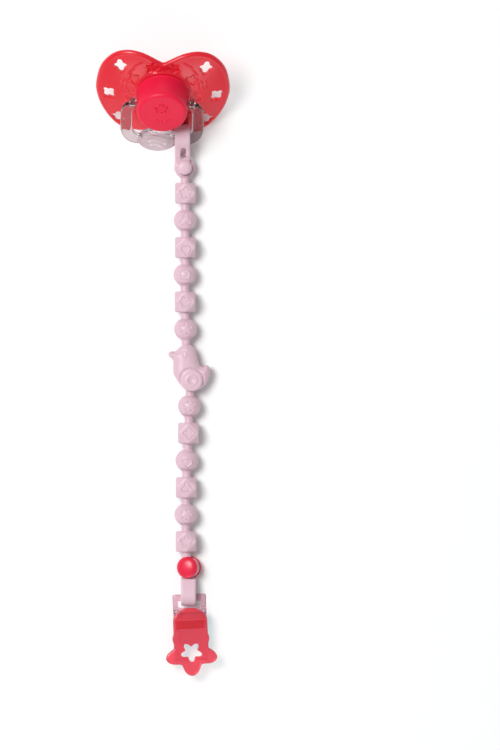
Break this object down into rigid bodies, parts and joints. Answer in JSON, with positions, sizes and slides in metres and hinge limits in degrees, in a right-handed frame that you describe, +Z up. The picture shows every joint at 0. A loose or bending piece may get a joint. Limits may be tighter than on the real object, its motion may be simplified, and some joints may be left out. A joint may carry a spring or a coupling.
{
  "type": "pacifier with holder strap",
  "caption": "Pacifier with heart-shaped vented shield, knob and grab ring, on a beaded silicone strap with a press snap and a star clip.",
  "frame": {"origin": "middle of the footprint, on the table that the object lies on", "axes": "+Z up from the table, +Y from the clip towards the top of the shield, +X to the right seen from above"},
  "size_m": [0.06, 0.2808, 0.0379],
  "materials": {
    "shield_red": "translucent, smooth, slightly frosted",
    "knob_crimson": "satin",
    "teat_silicone": "clear silicone, satin",
    "inner_plastic": "moulded",
    "clear_plastic": "clear, polished",
    "strap_silicone": "matte silicone",
    "snap_red": "polished",
    "clear_pink": "clear, polished",
    "lever_red": "translucent, polished"
  },
  "bodies": {
    "soother": {"shield": "shield_red", "teat": "teat_silicone", "teat_core": "inner_plastic", "collar": "inner_plastic", "knob_cap": "knob_crimson", "pivot_pin_left": "clear_plastic", "pivot_pin_right": "clear_plastic"},
    "ring": {"grab_ring": "clear_plastic"},
    "top_loop": {"loop_band": "strap_silicone", "loop_tab": "strap_silicone"},
    "link_01": {"bead_01": "strap_silicone"},
    "link_02": {"bead_02": "strap_silicone"},
    "link_03": {"bead_03": "strap_silicone"},
    "link_04": {"bead_04": "strap_silicone"},
    "link_05": {"bead_05": "strap_silicone"},
    "link_06": {"bead_06": "strap_silicone"},
    "link_07": {"bird_bead": "strap_silicone"},
    "link_08": {"bead_07": "strap_silicone"},
    "link_09": {"bead_08": "strap_silicone"},
    "link_10": {"bead_09": "strap_silicone"},
    "link_11": {"bead_10": "strap_silicone"},
    "link_12": {"bead_11": "strap_silicone"},
    "link_13": {"bead_12": "strap_silicone"},
    "strap_end": {"end_tab": "strap_silicone", "end_band": "strap_silicone", "snap_cap": "snap_red", "snap_stud": "snap_red"},
    "clip": {"clip_base": "clear_pink", "clip_pin": "clear_pink"},
    "lever": {"clip_lever": "lever_red"}
  },
  "joints": [
    {"name": "ring_hinge", "type": "hinge", "parent": "soother", "child": "ring", "pos_m": [-0.0002, 0.1163, 0.0255], "axis": [-0.9997, 0.0262, 0], "range_deg": [-3, 165]},
    {"name": "loop_hinge", "type": "hinge", "parent": "ring", "child": "top_loop", "pos_m": [-0.0004, 0.1006, 0.0067], "axis": [1, 0, 0], "range_deg": [-5, 10]},
    {"name": "neck_01", "type": "hinge", "parent": "top_loop", "child": "link_01", "pos_m": [0.0098, 0.0818, 0.0051], "axis": [0, 0, 1], "range_deg": [-15, 15]},
    {"name": "neck_02", "type": "hinge", "parent": "link_01", "child": "link_02", "pos_m": [0.0099, 0.0701, 0.0051], "axis": [1, 0, 0], "range_deg": [-15, 15]},
    {"name": "neck_03", "type": "hinge", "parent": "link_02", "child": "link_03", "pos_m": [0.0099, 0.0579, 0.0051], "axis": [0, 0, 1], "range_deg": [-15, 15]},
    {"name": "neck_04", "type": "hinge", "parent": "link_03", "child": "link_04", "pos_m": [0.0099, 0.0457, 0.0051], "axis": [1, 0, 0], "range_deg": [-15, 15]},
    {"name": "neck_05", "type": "hinge", "parent": "link_04", "child": "link_05", "pos_m": [0.0098, 0.0335, 0.0051], "axis": [0, 0, 1], "range_deg": [-15, 15]},
    {"name": "neck_06", "type": "hinge", "parent": "link_05", "child": "link_06", "pos_m": [0.01, 0.0213, 0.0051], "axis": [1, 0, 0], "range_deg": [-15, 15]},
    {"name": "neck_07", "type": "hinge", "parent": "link_06", "child": "link_07", "pos_m": [0.0103, 0.0091, 0.0051], "axis": [0, 0, 1], "range_deg": [-15, 15]},
    {"name": "neck_08", "type": "hinge", "parent": "link_07", "child": "link_08", "pos_m": [0.0121, -0.0133, 0.0051], "axis": [1, 0, 0], "range_deg": [-15, 15]},
    {"name": "neck_09", "type": "hinge", "parent": "link_08", "child": "link_09", "pos_m": [0.0116, -0.0254, 0.0051], "axis": [0, 0, 1], "range_deg": [-15, 15]},
    {"name": "neck_10", "type": "hinge", "parent": "link_09", "child": "link_10", "pos_m": [0.011, -0.0376, 0.0051], "axis": [1, 0, 0], "range_deg": [-15, 15]},
    {"name": "neck_11", "type": "hinge", "parent": "link_10", "child": "link_11", "pos_m": [0.0105, -0.0498, 0.0051], "axis": [0, 0, 1], "range_deg": [-15, 15]},
    {"name": "neck_12", "type": "hinge", "parent": "link_11", "child": "link_12", "pos_m": [0.0103, -0.062, 0.0051], "axis": [1, 0, 0], "range_deg": [-15, 15]},
    {"name": "neck_13", "type": "hinge", "parent": "link_12", "child": "link_13", "pos_m": [0.0102, -0.0741, 0.0051], "axis": [0, 0, 1], "range_deg": [-15, 15]},
    {"name": "neck_14", "type": "hinge", "parent": "link_13", "child": "strap_end", "pos_m": [0.0105, -0.0862, 0.0051], "axis": [1, 0, 0], "range_deg": [-15, 15]},
    {"name": "clip_swing", "type": "hinge", "parent": "strap_end", "child": "clip", "pos_m": [0.0118, -0.1052, 0.0039], "axis": [0.9992, 0.0401, 0], "range_deg": [-60, 60]},
    {"name": "lever_hinge", "type": "hinge", "parent": "clip", "child": "lever", "pos_m": [0.0121, -0.1124, 0.007], "axis": [-0.9992, -0.0401, 0], "range_deg": [0, 90]}
  ]
}
